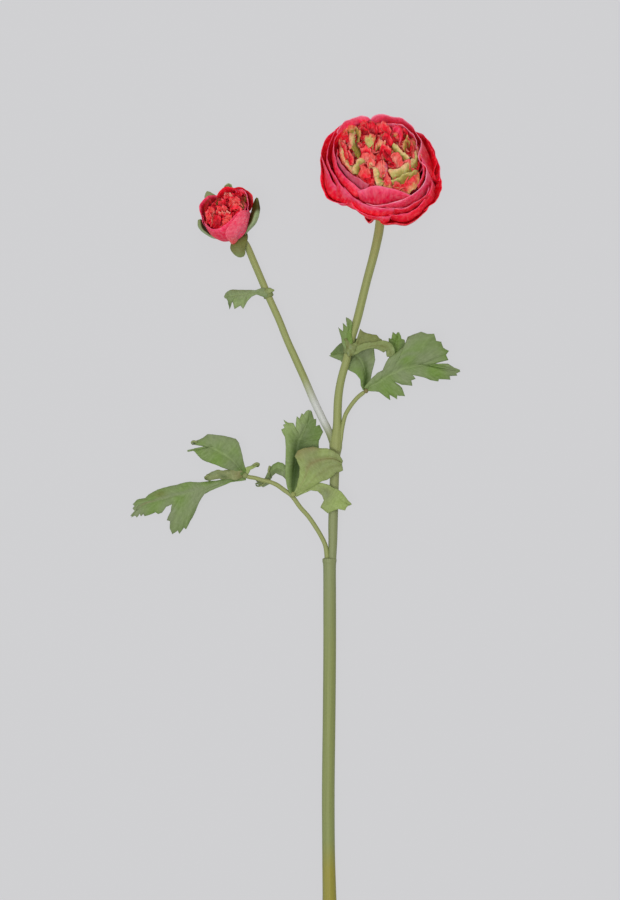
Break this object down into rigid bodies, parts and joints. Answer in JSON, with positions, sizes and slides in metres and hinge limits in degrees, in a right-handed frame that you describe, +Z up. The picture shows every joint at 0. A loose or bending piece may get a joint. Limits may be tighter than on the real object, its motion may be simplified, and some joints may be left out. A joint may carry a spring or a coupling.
{
  "type": "persian buttercup flower",
  "caption": "Cut flower spray lying flat: a many-petalled cupped bloom and a half-open bud on a forked stalk with deeply cut leaves.",
  "frame": {"origin": "on the surface that the spray lies on, under the middle of its bounding box", "axes": "+Y from the cut end of the stalk to the bloom, +Z up out of the surface that it lies on, +X to the leaf side next to the fork"},
  "size_m": [0.2062, 0.4938, 0.057],
  "materials": {
    "lower_stalk": "matte grey-green moulded stalk",
    "stalk": "matte yellow-green moulded stalk",
    "leaf": "printed cloth leaf, veined, paler beneath",
    "bract": "matte olive cloth",
    "petals": "dyed cloth, deep red with hot pink outer faces and rims",
    "heart": "crumpled dyed cloth, coral red with lime-olive folds",
    "bud_heart": "crumpled dyed cloth, red and coral"
  },
  "bodies": {
    "root": {"lower_stem": "lower_stalk", "main_stem": "stalk", "bud_branch": "stalk", "left_petiole": "stalk", "right_petiole": "stalk", "left_tip_leaf": "leaf", "left_inner_leaf": "leaf", "right_leaf": "leaf", "stem_bract": "bract", "bud_bract": "bract", "bloom_calyx": "bract", "bloom_petals": "petals", "bloom_heart": "heart", "bud_calyx": "bract", "bud_petals": "petals", "bud_heart": "bud_heart"}
  },
  "joints": []
}
